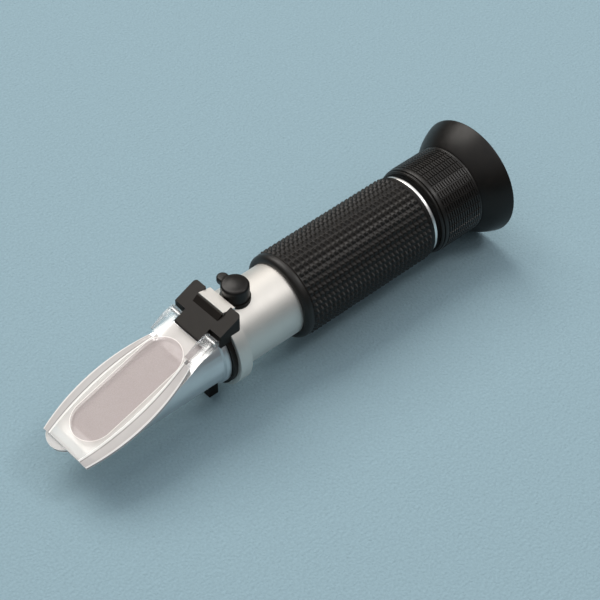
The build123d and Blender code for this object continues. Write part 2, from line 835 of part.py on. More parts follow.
pieces = {
    "body_tube": make_body_tube,
    "end_ring": make_end_ring,
    "grip_sleeve": make_grip_sleeve,
    "screw_seat": make_screw_seat,
    "main_prism": make_main_prism,
    "prism_seal": make_prism_seal,
    "prism_housing": make_prism_housing,
    "light_baffle": make_light_baffle,
    "hinge_mount": make_hinge_mount,
    "hinge_pin": make_hinge_pin,
    "clamp_screw": make_clamp_screw,
    "clamp_nut": make_clamp_nut,
    "spring_clip": make_spring_clip,
    "daylight_plate": make_daylight_plate,
    "calibration_screw": make_calibration_screw,
    "screw_cap": make_screw_cap,
    "objective_mount": make_objective_mount,
    "objective_cell": make_objective_cell,
    "objective_lens": make_objective_lens,
    "temperature_strip": make_temperature_strip,
    "strip_screws": make_strip_screws,
    "reticle_carrier": make_reticle_carrier,
    "reticle": make_reticle,
    "reticle_ring": make_reticle_ring,
    "focus_barrel": make_focus_barrel,
    "focus_sleeve": make_focus_sleeve,
    "eyecup": make_eyecup,
    "cell_retainer": make_cell_retainer,
    "eyepiece_cell": make_eyepiece_cell,
    "field_lens": make_field_lens,
    "lens_spacer": make_lens_spacer,
    "eye_lens": make_eye_lens,
    "lens_retainer": make_lens_retainer,
}

os.makedirs("parts", exist_ok=True)
for name, make in pieces.items():
    export_step(Pos(overall_length / 2, 0, rim_radius) * make(), f"parts/{name}.step")
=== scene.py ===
# %% [markdown]
# # A hand-held prism refractometer
# The instrument lies on a plain pale table, on the rim of its eyecup and on the lug of its
# clamp. The CAD parts come in as a fixed frame, and this notebook dresses them: turned metal,
# moulded rubber, clear acrylic and glass, each as its own piece with its own material.

# %% Load the frame
from math import atan2, cos, pi, radians, sin, sqrt

import bmesh
import bpy
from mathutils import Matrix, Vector


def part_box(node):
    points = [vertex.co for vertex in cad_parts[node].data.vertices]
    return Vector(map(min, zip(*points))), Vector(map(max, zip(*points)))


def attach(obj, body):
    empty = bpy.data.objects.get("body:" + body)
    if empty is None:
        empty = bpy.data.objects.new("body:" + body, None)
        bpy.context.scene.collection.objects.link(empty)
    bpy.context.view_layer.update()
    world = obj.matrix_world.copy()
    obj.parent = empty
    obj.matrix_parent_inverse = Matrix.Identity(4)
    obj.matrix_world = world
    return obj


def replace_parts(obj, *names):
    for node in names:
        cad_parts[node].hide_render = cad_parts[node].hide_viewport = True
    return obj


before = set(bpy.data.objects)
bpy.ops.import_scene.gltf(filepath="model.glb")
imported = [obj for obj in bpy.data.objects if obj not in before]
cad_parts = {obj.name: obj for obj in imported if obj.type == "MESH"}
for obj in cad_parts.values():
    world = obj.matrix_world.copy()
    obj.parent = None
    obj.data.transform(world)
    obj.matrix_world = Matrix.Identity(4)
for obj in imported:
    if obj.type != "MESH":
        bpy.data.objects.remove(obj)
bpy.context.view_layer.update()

# %% [markdown]
# ## Measures
# Blender works in metres, but a small instrument is easier to read in millimetres. The sizes
# below are in millimetres and become metres only when a mesh is made. Places along the optical
# axis are read from the frame, so that each piece of the visual model sits where its CAD part is.

# %% Millimetres and stations
MM = 0.001


def low_mm(node):
    """Lowest corner of a CAD node, in millimetres."""
    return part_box(node)[0] / MM


def high_mm(node):
    """Highest corner of a CAD node, in millimetres."""
    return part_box(node)[1] / MM


def radius_mm(node):
    """Largest radius of a CAD node that is turned about the optical axis."""
    return (high_mm(node).y - low_mm(node).y) / 2


axis_height = (low_mm("end_ring").z + high_mm("end_ring").z) / 2
flange_front = low_mm("body_tube").x
grip_front = low_mm("grip_sleeve").x
grip_back = high_mm("grip_sleeve").x
ring_back = high_mm("end_ring").x
sleeve_front = low_mm("focus_sleeve").x
sleeve_back = high_mm("focus_sleeve").x
rim_back = high_mm("eyecup").x
print(f"optical axis {axis_height:.2f} mm above the table")
print(f"flange at {flange_front:.2f}, grip {grip_front:.2f} to {grip_back:.2f}")

# %% [markdown]
# ## Maths with node sockets
# A material or a node tree often needs a little maths, such as a mask or a ring pattern. One
# small class wraps a socket, so that a Python expression adds the Math nodes by itself. Every
# other node comes from one method, which takes its type, its settings and its inputs.

# %% Sockets that can be added and multiplied


class Wire:
    """A node's output that takes part in Python expressions."""

    def __init__(self, tree, socket=None):
        self.tree = tree
        self.socket = socket

    def node(self, kind, settings=None, inputs=None, output=0):
        """Adds a node, sets it up, feeds its inputs and returns one of its outputs."""
        made = self.tree.nodes.new(kind)
        for name, value in (settings or {}).items():
            if name == "stops":
                ramp = made.color_ramp.elements
                while len(ramp) < len(value):
                    ramp.new(1.0)
                for element, (place, colour) in zip(ramp, value):
                    element.position = place
                    element.color = colour
            else:
                setattr(made, name, value)
        for name, value in (inputs or {}).items():
            if isinstance(value, Wire):
                self.tree.links.new(value.socket, made.inputs[name])
            else:
                made.inputs[name].default_value = value
        return Wire(self.tree, made.outputs[output])

    def maths(self, operation, *values):
        """One Math node on this socket and other values."""
        feeds = {place: value for place, value in enumerate((self, *values))}
        return self.node("ShaderNodeMath", {"operation": operation}, feeds)

    def __add__(self, other):
        return self.maths("ADD", other)

    __radd__ = __add__

    def __sub__(self, other):
        return self.maths("SUBTRACT", other)

    def __rsub__(self, other):
        return self * -1 + other

    def __mul__(self, other):
        return self.maths("MULTIPLY", other)

    __rmul__ = __mul__

    def __truediv__(self, other):
        return self.maths("DIVIDE", other)

    def __mod__(self, other):
        return self.maths("MODULO", other)

    def __gt__(self, other):
        return self.maths("GREATER_THAN", other)

    def __lt__(self, other):
        return self.maths("LESS_THAN", other)


print("socket maths ready")

# %% [markdown]
# ## Building blocks for materials
# All finishes read Object coordinates. The pieces lie at the origin of the frame, so these are
# real places on the instrument, and turned into millimetres they give grain and tool marks at
# their true size. A finish is a Principled shader whose colour and roughness vary a little and
# whose surface has a fine bump.

# %% Material helpers


def new_material(name):
    """An empty material, a Wire into its tree and its output node."""
    material = bpy.data.materials.new(name)
    material.use_nodes = True
    material.node_tree.nodes.clear()
    wire = Wire(material.node_tree)
    output = material.node_tree.nodes.new("ShaderNodeOutputMaterial")
    return material, wire, output


def places_mm(wire, stretch=(1.0, 1.0, 1.0)):
    """Object coordinates in millimetres, stretched along the axes."""
    spots = wire.node("ShaderNodeTexCoord", output=3)
    scale = Vector(stretch) / MM
    return wire.node("ShaderNodeMapping", None, {"Vector": spots, "Scale": scale})


def grain(wire, size, detail=2.0, stretch=(1.0, 1.0, 1.0)):
    """Noise from 0 to 1 whose blobs are about as large as the given size."""
    inputs = {"Vector": places_mm(wire, stretch), "Scale": 1 / size, "Detail": detail}
    return wire.node("ShaderNodeTexNoise", None, inputs)


def blend(wire, share, first, second):
    """A colour between two colours."""
    inputs = {0: share, 6: first, 7: second}
    return wire.node("ShaderNodeMix", {"data_type": "RGBA"}, inputs, output=2)


def grey(value):
    """A neutral colour."""
    return (value, value, value, 1.0)


def shade(value, share):
    """A colour made lighter or darker."""
    return (value[0] * share, value[1] * share, value[2] * share, 1.0)


def finish(name, colour, roughness, relief, fixed=None, relief_height=0.01, tone=0.0):
    """A Principled finish: colour and roughness may be wires, and relief feeds the bump."""
    material, wire, output = new_material(name)
    look = {"Base Color": colour(wire) if callable(colour) else colour}
    look["Roughness"] = roughness(wire) if callable(roughness) else roughness
    if relief is not None:
        bump = {"Height": relief(wire), "Distance": relief_height * MM, "Strength": 1.0}
        look["Normal"] = wire.node("ShaderNodeBump", None, bump)
    for socket, value in (fixed or {}).items():
        look[socket] = value(wire) if callable(value) else value
    shader = wire.node("ShaderNodeBsdfPrincipled", None, look)
    material.node_tree.links.new(shader.socket, output.inputs["Surface"])
    return material


print("material helpers ready")

# %% [markdown]
# ## Metals
# The tube is aluminium that was turned, blasted and anodised, so it has a soft sheen with very
# fine rings left by the tool. Noise that is stretched across the axis gives such rings. The
# nose is a casting with a finer, even grain, and the end ring is polished.

# %% Metal finishes
warm_silver = (0.79, 0.76, 0.715, 1.0)
cool_silver = (0.74, 0.745, 0.75, 1.0)
across_axis = (1.0, 0.02, 0.02)


def turned_metal(name, colour, roughness, ring_size, ring_height):
    """Metal with fine turning rings about the optical axis."""
    return finish(
        name,
        lambda w: blend(w, grain(w, 6.0), shade(colour, 0.94), shade(colour, 1.03)),
        lambda w: (
            grain(w, ring_size, 3.0, across_axis) * 0.12 + grain(w, 3.0) * 0.06 + (roughness - 0.09)
        ),
        lambda w: grain(w, ring_size, 2.0, across_axis) * 0.6 + grain(w, 0.12) * 0.5,
        fixed={"Metallic": 1.0},
        relief_height=ring_height,
    )


silver_tube = turned_metal("satin_aluminium", warm_silver, 0.54, 0.25, 0.004)
bright_ring = turned_metal("polished_ring", (0.96, 0.94, 0.91, 1.0), 0.36, 0.08, 0.002)
cast_silver = finish(
    "cast_silver",
    lambda w: blend(w, grain(w, 2.5, 4.0), shade(cool_silver, 0.93), shade(cool_silver, 1.03)),
    lambda w: grain(w, 1.2, 4.0) * 0.14 + 0.33,
    lambda w: grain(w, 0.16, 3.0),
    fixed={"Metallic": 1.0},
    relief_height=0.012,
)
steel = finish(
    "steel",
    lambda w: blend(w, grain(w, 0.8), shade(cool_silver, 0.75), shade(cool_silver, 0.85)),
    lambda w: grain(w, 0.4, 3.0) * 0.15 + 0.22,
    lambda w: grain(w, 0.1, 3.0),
    fixed={"Metallic": 1.0},
    relief_height=0.004,
)
clip_steel = finish(
    "clip_steel",
    lambda w: blend(w, grain(w, 1.5), shade(warm_silver, 1.05), shade(warm_silver, 1.13)),
    lambda w: grain(w, 0.2, 3.0, (1.0, 0.05, 1.0)) * 0.14 + 0.42,
    lambda w: grain(w, 0.12, 2.0, (1.0, 0.04, 1.0)),
    fixed={"Metallic": 1.0},
    relief_height=0.004,
)
brass = turned_metal("brass", (0.72, 0.55, 0.28, 1.0), 0.30, 0.12, 0.004)
along_strip = (0.1, 1.0, 1.0)
two_metal = finish(
    "two_metal",
    lambda w: blend(
        w, grain(w, 1.0, 2.0, along_strip), (0.62, 0.60, 0.57, 1), (0.74, 0.64, 0.48, 1)
    ),
    lambda w: grain(w, 0.5) * 0.15 + 0.25,
    lambda w: grain(w, 0.15, 2.0, (0.08, 1.0, 1.0)),
    fixed={"Metallic": 1.0},
    relief_height=0.004,
)
black_metal = finish(
    "black_metal",
    lambda w: blend(w, grain(w, 1.5), grey(0.012), grey(0.022)),
    lambda w: grain(w, 0.3, 3.0, across_axis) * 0.2 + 0.35,
    lambda w: grain(w, 0.2, 2.0, across_axis) * 0.6 + grain(w, 0.1) * 0.4,
    relief_height=0.008,
)
metals = (silver_tube, bright_ring, cast_silver, steel, clip_steel, brass, two_metal, black_metal)
print("metals:", [metal.name for metal in metals])

# %% [markdown]
# ## Rubber and plastic
# Rubber isn't one flat black. Its tops are rubbed a little browner and smoother than its
# hollows, and the mould leaves a fine grain. The hinge block is a hard plastic, with a finer
# texture and a clearer sheen.

# %% Rubber and plastic finishes
rubber_dark = (0.0032, 0.0026, 0.0021, 1.0)
rubber_worn = (0.0140, 0.0108, 0.0080, 1.0)


def moulded_rubber(name, dark, worn, roughness, grain_size, grain_height, gloss=0.4):
    """Rubber with uneven wear and a fine moulded grain."""
    return finish(
        name,
        lambda w: blend(w, grain(w, 3.0, 4.0), dark, worn),
        lambda w: grain(w, 1.5, 3.0) * 0.16 + (roughness - 0.08),
        lambda w: grain(w, grain_size, 3.0),
        fixed={"Specular IOR Level": gloss},
        relief_height=grain_height,
    )


grip_rubber = moulded_rubber("grip_rubber", rubber_dark, rubber_worn, 0.42, 0.14, 0.02)
sleeve_rubber = moulded_rubber("sleeve_rubber", rubber_dark, rubber_worn, 0.36, 0.12, 0.012)
rubber_smooth = shade(rubber_worn, 0.8)
eyecup_rubber = moulded_rubber(
    "eyecup_rubber", rubber_dark, rubber_smooth, 0.38, 0.2, 0.008, gloss=0.26
)
cap_rubber = moulded_rubber(
    "cap_rubber", rubber_dark, rubber_smooth, 0.36, 0.15, 0.008, gloss=0.28
)
plastic_dark = (0.005, 0.0036, 0.0025, 1)
plastic_worn = (0.012, 0.0082, 0.0052, 1)
hinge_plastic = moulded_rubber(
    "hinge_plastic", plastic_dark, plastic_worn, 0.42, 0.18, 0.004, gloss=0.2
)
cement = moulded_rubber("cement", grey(0.22), grey(0.34), 0.6, 0.3, 0.02)
print("rubbers ready")

# %% [markdown]
# ## Clear acrylic and glass
# The daylight plate is clear acrylic over a bright casting, and its pad is frosted, so it
# looks grey and a little pink. The panel is a thin veil of cream that lets some light through;
# the cream is partly the acrylic's milky tone and partly painted light from the lit casting
# below. Its colour changes to the pad's grain inside a rounded outline, with a painted
# highlight line round it. The bevelled sides get painted light and dark lines, the rounded
# edges are painted highlight strips, and the ears are clear. Places on the plate are measured
# from the hinge, down the slope and off it.

# %% Clear finishes
hinge_place = (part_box("hinge_pin")[0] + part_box("hinge_pin")[1]) / 2
slope = radians(17.3)
down_slope = Vector((-cos(slope), 0.0, -sin(slope)))
off_face = Vector((-sin(slope), 0.0, cos(slope)))
pad_start, pad_end, pad_round = 6.4, 46.8, 7.3
pad_highlight_line = 0.13
panel_cover, highlight_line_cover = 0.4, 0.3
bevel_depth, bevel_height = 1.75, 1.9
acrylic_index = 1.49


def moulded_gloss(lowest):
    """Roughness of a polished moulding, from its lowest value upwards."""
    return lambda w: grain(w, 0.8, 3.0) * 0.05 + lowest


def faint_waves(wire):
    """The slight unevenness of a polished moulding."""
    return grain(wire, 0.25, 3.0)


def clear_plastic(name, colour, veil, roughness, sparkle, through):
    """Clear plastic that bends light, with a share that passes straight through."""
    dull, bright = shade(colour, 1 - sparkle), shade(colour, 1 + sparkle)
    return finish(
        name,
        lambda w: blend(w, grain(w, 0.35, 4.0), dull, bright),
        moulded_gloss(roughness - 0.025),
        faint_waves,
        fixed={"Alpha": veil, "IOR": acrylic_index, "Transmission Weight": through},
        relief_height=0.003 + sparkle * 0.05,
    )


def from_hinge(wire):
    """Millimetres from the hinge along X, Y and Z."""
    spots = wire.node("ShaderNodeTexCoord", output=3)
    x, y, z = (
        wire.node("ShaderNodeSeparateXYZ", None, {0: spots}, output=place) for place in range(3)
    )
    return (x - hinge_place.x) / MM, y / MM, (z - hinge_place.z) / MM


def distance_to_pad(wire):
    """Millimetres outside the pad's rounded outline, negative above the pad."""
    x, y, z = from_hinge(wire)
    along = x * down_slope.x + z * down_slope.z
    middle = along.maths("MAXIMUM", pad_start + pad_round).maths("MINIMUM", pad_end - pad_round)
    return ((along - middle).maths("POWER", 2.0) + y * y).maths("SQRT") - pad_round


def panel_colour(wire):
    """Cream panel, partly milky acrylic and partly painted light from the lit casting below, a
    painted highlight line round the pad, and a pinkish grain above the pad.
    """
    gap = distance_to_pad(wire)
    frost = blend(wire, grain(wire, 0.3, 4.0), (0.54, 0.45, 0.435, 1), (0.86, 0.75, 0.73, 1))
    # The cream is partly the acrylic's milky tone and partly painted light from the lit casting
    # below.
    base = blend(wire, gap < 0.0, (0.98, 0.94, 0.89, 1), frost)
    # Painted highlight: the light line along the pad's outline.
    return blend(wire, gap.maths("ABSOLUTE") < pad_highlight_line, base, (0.95, 0.90, 0.86, 1))


def bevel_lines(wire):
    """Light and dark lines that run along the bevel, as light bounces about inside its edge."""
    x, _, z = from_hinge(wire)
    lift = (x * off_face.x + z * off_face.z + bevel_depth) / bevel_height
    light, dark = (1.0, 0.97, 0.94, 1), (0.12, 0.11, 0.10, 1)
    veil, mist = (0.50, 0.455, 0.44, 1), (0.62, 0.58, 0.56, 1)
    return wire.node("ShaderNodeValToRGB", {"stops": [
        (0.05, light), (0.09, veil), (0.41, veil), (0.44, dark), (0.47, light), (0.53, light),
        (0.56, mist), (0.86, mist), (0.89, dark), (0.93, light),
    ]}, {"Fac": lift})


def panel_veil(wire):
    """The panel hides a little of what is below it, and more along the pad's outline, where the
    painted highlight line lies.
    """
    return (distance_to_pad(wire).maths("ABSOLUTE") < pad_highlight_line) * highlight_line_cover + panel_cover


clear_acrylic = clear_plastic("clear_acrylic", (0.97, 0.97, 0.96, 1), 0.55, 0.05, 0.01, 0.9)
milky_acrylic_painted_light = finish(
    "milky_acrylic_painted_light",
    panel_colour,
    moulded_gloss(0.08),
    faint_waves,
    fixed={"Alpha": panel_veil, "IOR": acrylic_index},
    relief_height=0.004,
)
# Painted highlight: the rounded edges of the plate are near-white and almost opaque, standing in
# for light caught in clear plastic edges.
acrylic_edge_highlight = clear_plastic("acrylic_edge_highlight", (1.0, 0.98, 0.95, 1), 0.95, 0.14, 0.0, 0.0)
# The sloping sides carry the painted light and dark bevel lines.
acrylic_side = finish(
    "acrylic_side",
    bevel_lines,
    moulded_gloss(0.08),
    faint_waves,
    fixed={"Alpha": 0.82, "IOR": acrylic_index},
    relief_height=0.004,
)
pad_wall = clear_plastic("pad_wall", (0.30, 0.26, 0.24, 1), 0.9, 0.2, 0.02, 0.0)
frosted_acrylic = clear_plastic("frosted_acrylic", (0.44, 0.36, 0.35, 1), 0.6, 0.55, 0.30, 0.0)


def polished_glass(name, colour, index, through):
    """Polished glass with faint waviness, of which a share lets light through."""
    return finish(
        name,
        lambda w: blend(w, grain(w, 3.0), shade(colour, 0.9), shade(colour, 1.05)),
        lambda w: grain(w, 4.0) * 0.03 + 0.02,
        lambda w: grain(w, 5.0),
        fixed={"Transmission Weight": through, "IOR": index},
        relief_height=0.002,
    )


prism_glass = polished_glass("prism_glass", (0.045, 0.055, 0.075, 1), 1.70, 0.15)
lens_glass = polished_glass("lens_glass", (0.86, 0.92, 0.90, 1), 1.52, 1.0)
print("clear finishes ready")

# %% [markdown]
# ## Turned pieces
# Tube, rings, sleeves, cup and lenses are all turned about the optical axis. Each one is an
# outline of stations and radii, with its corners rounded a little so that they catch the
# light, and it is swept round with enough steps to look smooth.

# %% Turning a closed outline about the axis
smooth_steps = 240
straight_on = radians(165)
on_axis = 1e-6


def arc_between(start, middle, end, steps):
    """Points on the circle through three points, from the first to the last."""
    (ax, ay), (bx, by), (cx, cy) = start, middle, end
    doubled = 2 * (ax * (by - cy) + bx * (cy - ay) + cx * (ay - by))
    squares = [x * x + y * y for x, y in (start, middle, end)]
    centre_x = (squares[0] * (by - cy) + squares[1] * (cy - ay) + squares[2] * (ay - by)) / doubled
    centre_y = (squares[0] * (cx - bx) + squares[1] * (ax - cx) + squares[2] * (bx - ax)) / doubled
    radius = sqrt((ax - centre_x) ** 2 + (ay - centre_y) ** 2)
    first, half, last = (atan2(y - centre_y, x - centre_x) for x, y in (start, middle, end))
    sweep = (last - first) % (2 * pi)
    if (half - first) % (2 * pi) > sweep:
        sweep -= 2 * pi
    angles = [first + sweep * step / steps for step in range(steps + 1)]
    return [(centre_x + radius * cos(a), centre_y + radius * sin(a)) for a in angles]


def soften_corners(outline, radius, steps=3, closed=True):
    """Rounds the corners of an outline that turn by more than a slight bend."""
    softened = []
    count = len(outline)
    for place, corner in enumerate(outline):
        corner = Vector(corner)
        before = Vector(outline[place - 1]) - corner
        after = Vector(outline[(place + 1) % count]) - corner
        at_end = not closed and place in (0, count - 1)
        if at_end or before.angle(after) > straight_on:
            softened.append(tuple(corner))
            continue
        reach = min(radius, 0.45 * before.length, 0.45 * after.length)
        start = corner + before.normalized() * reach
        end = corner + after.normalized() * reach
        for step in range(steps + 1):
            share = step / steps
            softened.append(tuple(start.lerp(corner, share).lerp(corner.lerp(end, share), share)))
    return softened


def keep_mesh(name, points_mm, faces, material, body, sharp=40.0):
    """Makes a mesh object, points its faces outwards and lets it ride on its body."""
    mesh = bpy.data.meshes.new(name)
    mesh.from_pydata([Vector(p) * MM for p in points_mm], [], faces)
    made = bpy.data.objects.new(name, mesh)
    bpy.context.scene.collection.objects.link(made)
    tidy = bmesh.new()
    tidy.from_mesh(mesh)
    bmesh.ops.recalc_face_normals(tidy, faces=tidy.faces)
    tidy.to_mesh(mesh)
    tidy.free()
    return dress(made, [material], body, sharp)


def dress(piece, materials, body, sharp=40.0):
    """Crisp edges unless the mesh has them, its materials, and a body to ride on."""
    if not piece.data.has_custom_normals:
        piece.data.shade_smooth()
        piece.data.set_sharp_from_angle(angle=radians(sharp))
    places = [face.material_index for face in piece.data.polygons]
    piece.data.materials.clear()
    for material in materials:
        piece.data.materials.append(material)
    piece.data.polygons.foreach_set("material_index", places)
    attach(piece, body)
    return piece


def turned(name, outline, material, body, soft=0.15, closed=True, steps=smooth_steps):
    """A closed outline of (station, radius), or one from axis to axis, swept round."""
    outline = soften_corners(outline, soft, closed=closed) if soft else outline
    points, rings, faces = [], [], []
    for x, r in outline:
        if r < on_axis:
            rings.append([len(points)] * steps)
            points.append((x, 0.0, axis_height))
            continue
        rings.append([len(points) + step for step in range(steps)])
        for step in range(steps):
            angle = 2 * pi * step / steps
            points.append((x, r * sin(angle), axis_height + r * cos(angle)))
    follow = rings[1:] + (rings[:1] if closed else [])
    for ring, following in zip(rings, follow):
        for step in range(steps):
            beyond = (step + 1) % steps
            corners = [ring[step], ring[beyond], following[beyond], following[step]]
            face = list(dict.fromkeys(corners))
            if len(face) > 2:
                faces.append(face)
    return keep_mesh(name, points, faces, material, body)


print("turning with", smooth_steps, "steps")

# %% [markdown]
# ## The tube and its end ring
# The tube carries everything. Its flange is a separate-looking collar at the front with
# softened edges, and a bright ring closes it behind the grip. The outline goes once round the
# wall: outside from front to back, then back along the bore.

# %% Tube and end ring
tube_radius = 12.0
tube_bore = 10.4
flange_radius = radius_mm("body_tube")
flange_length = 4.4
flange_back = flange_front + flange_length
seat_radius = tube_radius - 0.4
fit_gap = 0.03

body_tube = turned(
    "body_tube_turned",
    [
        (flange_front, tube_bore), (flange_front, flange_radius), (flange_back, flange_radius),
        (flange_back, tube_radius), (grip_back, tube_radius), (grip_back, seat_radius),
        (ring_back, seat_radius), (ring_back, tube_bore),
    ],
    silver_tube, "body", soft=0.2,
)
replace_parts(body_tube, "body_tube")

ring_radius = radius_mm("end_ring")
end_ring = turned(
    "end_ring_turned",
    [
        (grip_back, seat_radius + fit_gap), (grip_back, ring_radius), (ring_back, ring_radius),
        (ring_back, seat_radius + fit_gap),
    ],
    bright_ring, "body", soft=0.3,
)
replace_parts(end_ring, "end_ring")
print("tube", round(ring_back - flange_front, 2), "mm long, flange", round(2 * flange_radius, 2))

# %% [markdown]
# ## The knurled rubber
# The grip has rows of small blunt pyramids, and the focus sleeve has rows of low pillows. Both
# follow one rule: along the tube and round it, each tooth rises from a groove, has a flat top
# and falls again. One node tree makes a grid of points, works out for each point which part of
# a tooth it belongs to, and puts it at its place on the cylinder. Its ends dive under the
# sleeve's smooth lips, so that no open edge shows.

# %% A node tree for bands of teeth
band_inputs = [
    ("Start", "NodeSocketFloat"), ("Pitch", "NodeSocketFloat"), ("Rows", "NodeSocketInt"),
    ("Teeth Round", "NodeSocketInt"), ("Groove Radius", "NodeSocketFloat"),
    ("Tooth Height", "NodeSocketFloat"), ("Groove Along", "NodeSocketFloat"),
    ("Flank Along", "NodeSocketFloat"), ("Groove Round", "NodeSocketFloat"),
    ("Flank Round", "NodeSocketFloat"), ("First Tooth", "NodeSocketFloat"),
    ("Axis Height", "NodeSocketFloat"), ("Material", "NodeSocketMaterial"),
]


def tooth_share(step, groove, flank):
    """How far into a tooth the four points of each period lie: groove, groove, top, top."""
    top = groove * -1 - flank * 2 + 1
    return (step > 0.5) * groove + (step > 1.5) * flank + (step > 2.5) * top


def make_band_tree():
    """Builds the node tree and gives its group inputs names."""
    tree = bpy.data.node_groups.new("tooth_band", "GeometryNodeTree")
    for label, kind in band_inputs:
        tree.interface.new_socket(label, in_out="INPUT", socket_type=kind)
    tree.interface.new_socket("Geometry", in_out="OUTPUT", socket_type="NodeSocketGeometry")
    wire = Wire(tree)
    entry = tree.nodes.new("NodeGroupInput")
    given = {label: Wire(tree, entry.outputs[label]) for label, _ in band_inputs}
    across = given["Teeth Round"] * 4 + 1
    along = given["Rows"] * 4 + 3
    grid = wire.node("GeometryNodeMeshGrid", None, {"Vertices X": along, "Vertices Y": across})
    index = wire.node("GeometryNodeInputIndex")
    row = (index / across).maths("FLOOR")
    column = index - row * across
    last = given["Rows"] * 4
    inner_row = (row - 1).maths("MAXIMUM", 0.0).maths("MINIMUM", last)
    dive = ((row < 0.5) + (row > last + 1.5)) * 0.4
    share_x = (inner_row / 4).maths("FLOOR") + tooth_share(
        inner_row % 4, given["Groove Along"], given["Flank Along"]
    )
    share_round = (column / 4).maths("FLOOR") + tooth_share(
        column % 4, given["Groove Round"], given["Flank Round"]
    )
    raised = ((inner_row % 4) > 1.5) * ((column % 4) > 1.5)
    radius = given["Groove Radius"] + given["Tooth Height"] * raised - dive
    turn = (share_round - given["First Tooth"]) / given["Teeth Round"] * (2 * pi)
    place = wire.node("ShaderNodeCombineXYZ", None, {
        "X": (given["Start"] + share_x * given["Pitch"]) * MM,
        "Y": radius * turn.maths("SINE") * MM,
        "Z": (radius * turn.maths("COSINE") + given["Axis Height"]) * MM,
    })
    moved = wire.node("GeometryNodeSetPosition", None, {"Geometry": grid, "Position": place})
    closed = wire.node("GeometryNodeMergeByDistance", None, {"Geometry": moved, "Distance": 1e-6})
    real = wire.node("GeometryNodeRealizeInstances", None, {"Geometry": closed})
    dressed = wire.node(
        "GeometryNodeSetMaterial", None, {"Geometry": real, "Material": given["Material"]}
    )
    exit_node = tree.nodes.new("NodeGroupOutput")
    tree.links.new(dressed.socket, exit_node.inputs["Geometry"])
    return tree


def grow(name, tree, values, material, body, sharp):
    """Runs a tree on an empty mesh and keeps the result as a plain mesh."""
    seed = bpy.data.objects.new(name + "_seed", bpy.data.meshes.new(name + "_seed"))
    bpy.context.scene.collection.objects.link(seed)
    modifier = seed.modifiers.new("grow", "NODES")
    modifier.node_group = tree
    for item in tree.interface.items_tree:
        if item.in_out == "INPUT":
            modifier[item.identifier] = values[item.name]
    evaluated = seed.evaluated_get(bpy.context.evaluated_depsgraph_get())
    mesh = bpy.data.meshes.new_from_object(evaluated)
    bpy.data.objects.remove(seed)
    made = bpy.data.objects.new(name, mesh)
    bpy.context.scene.collection.objects.link(made)
    return dress(made, [material], body, sharp)


def trough_outline(start, end, groove, floor):
    """The shallow trough of a sleeve, whose ends rise to the grooves of the teeth."""
    return [
        (start - 0.05, groove - 0.02), (start + 0.1, floor),
        (end - 0.1, floor), (end + 0.05, groove - 0.02),
    ]


tooth_band = make_band_tree()
print("tooth band tree:", len(tooth_band.nodes), "nodes")

# %% [markdown]
# ## The grip
# Below the teeth the grip is a plain turned sleeve. Its front lip is rounded and smooth, its
# back has a low shoulder with a fine ring, and between them a shallow trough takes the teeth.

# %% Grip sleeve with its teeth
grip_radius = 14.6
grip_rows = 28
grip_pitch = 1.76
grip_teeth_round = 40
tooth_height = 0.75
lip_length = 3.2
groove_radius = grip_radius - tooth_height
band_start = grip_front + lip_length
band_end = band_start + grip_rows * grip_pitch
trough = groove_radius - 0.12
lip_top = groove_radius + 0.45
ring_top, ring_dip = lip_top - 0.05, lip_top - 0.25

lip_round = 1.8
lip_bend = lip_round * (1 - sqrt(0.5))
grip_lip = arc_between(
    (grip_front, lip_top - lip_round), (grip_front + lip_bend, lip_top - lip_bend),
    (grip_front + lip_round, lip_top), 10
)
grip_base = turned(
    "grip_sleeve_base",
    [(grip_front, tube_radius + fit_gap)] + grip_lip + [(band_start - 0.7, lip_top)]
    + trough_outline(band_start, band_end, groove_radius, trough)
    + [
        (band_end + 0.5, lip_top), (grip_back - 0.9, lip_top), (grip_back - 0.8, ring_dip),
        (grip_back - 0.5, ring_dip), (grip_back - 0.45, ring_top), (grip_back, lip_top - 0.5),
        (grip_back, tube_radius + fit_gap),
    ],
    grip_rubber, "body", soft=0.12,
)
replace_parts(grip_base, "grip_sleeve")
grip_teeth = grow(
    "grip_teeth", tooth_band,
    {
        "Start": band_start, "Pitch": grip_pitch, "Rows": grip_rows,
        "Teeth Round": grip_teeth_round,
        "Groove Radius": groove_radius, "Tooth Height": tooth_height, "Groove Along": 0.10,
        "Flank Along": 0.36, "Groove Round": 0.08, "Flank Round": 0.34, "First Tooth": 0.54,
        "Axis Height": axis_height, "Material": grip_rubber,
    },
    grip_rubber, "body", sharp=20.0,
)
print("grip:", grip_rows * grip_teeth_round, "teeth,", len(grip_teeth.data.polygons), "faces")

# %% [markdown]
# ## The focus sleeve
# The ribbed sleeve of the eyepiece is turned to focus the scale. Its ribs are finer than the
# grip's teeth: low pillows that are longer round the sleeve than along it. Two fine rings mark
# its front edge.

# %% Focus sleeve with its ribs
sleeve_radius = radius_mm("focus_sleeve")
sleeve_bore = 13.43
rib_rows = 14
rib_pitch = 0.98
ribs_round = 38
rib_height = 0.34
rib_groove_radius = sleeve_radius - rib_height
ribs_end = sleeve_back - 0.9
ribs_start = ribs_end - rib_rows * rib_pitch
rib_trough = rib_groove_radius - 0.1
front_ring, front_dip = sleeve_radius - 0.45, sleeve_radius - 0.75

